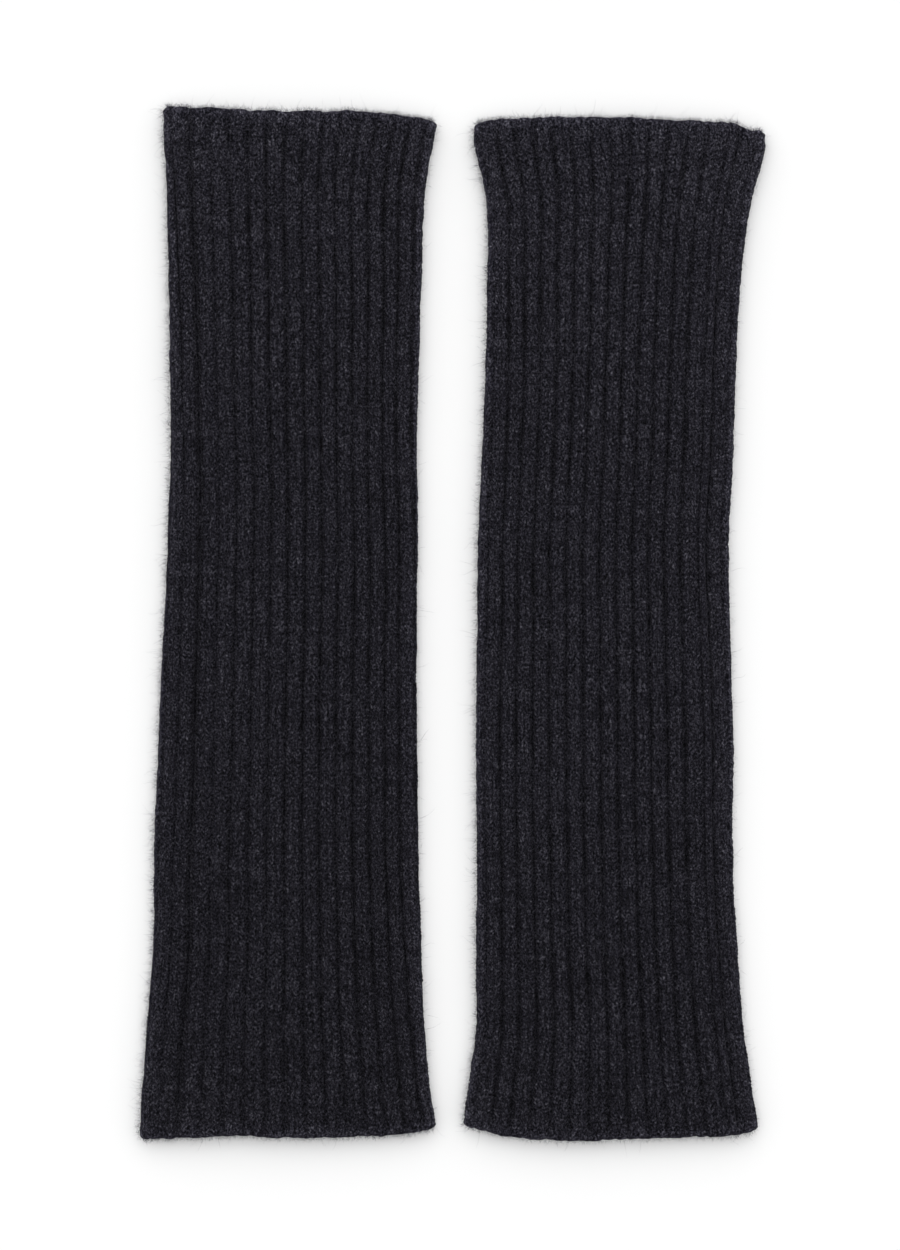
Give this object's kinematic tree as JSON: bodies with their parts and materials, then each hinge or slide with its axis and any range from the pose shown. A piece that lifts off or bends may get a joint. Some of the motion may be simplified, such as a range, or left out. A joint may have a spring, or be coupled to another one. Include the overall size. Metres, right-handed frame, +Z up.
{
  "type": "pair of leg warmers",
  "caption": "Rib-knit leg warmers in charcoal melange, laid flat side by side, open at both ends and slightly flared.",
  "frame": {"origin": "between the two leg warmers, at the middle of the pair's box, on the surface that they rest on", "axes": "+X across the pair, from the left leg warmer to the right one; +Y along the legs, towards their upper edges; +Z up, out of the surface"},
  "size_m": [0.2692, 0.4448, 0.0072],
  "materials": {
    "left_rib_knit": "matt charcoal melange rib knit with a soft fuzz",
    "right_rib_knit": "matt charcoal melange rib knit with a soft fuzz"
  },
  "bodies": {
    "root": {"left_leg_warmer": "left_rib_knit", "right_leg_warmer": "right_rib_knit"}
  },
  "joints": []
}
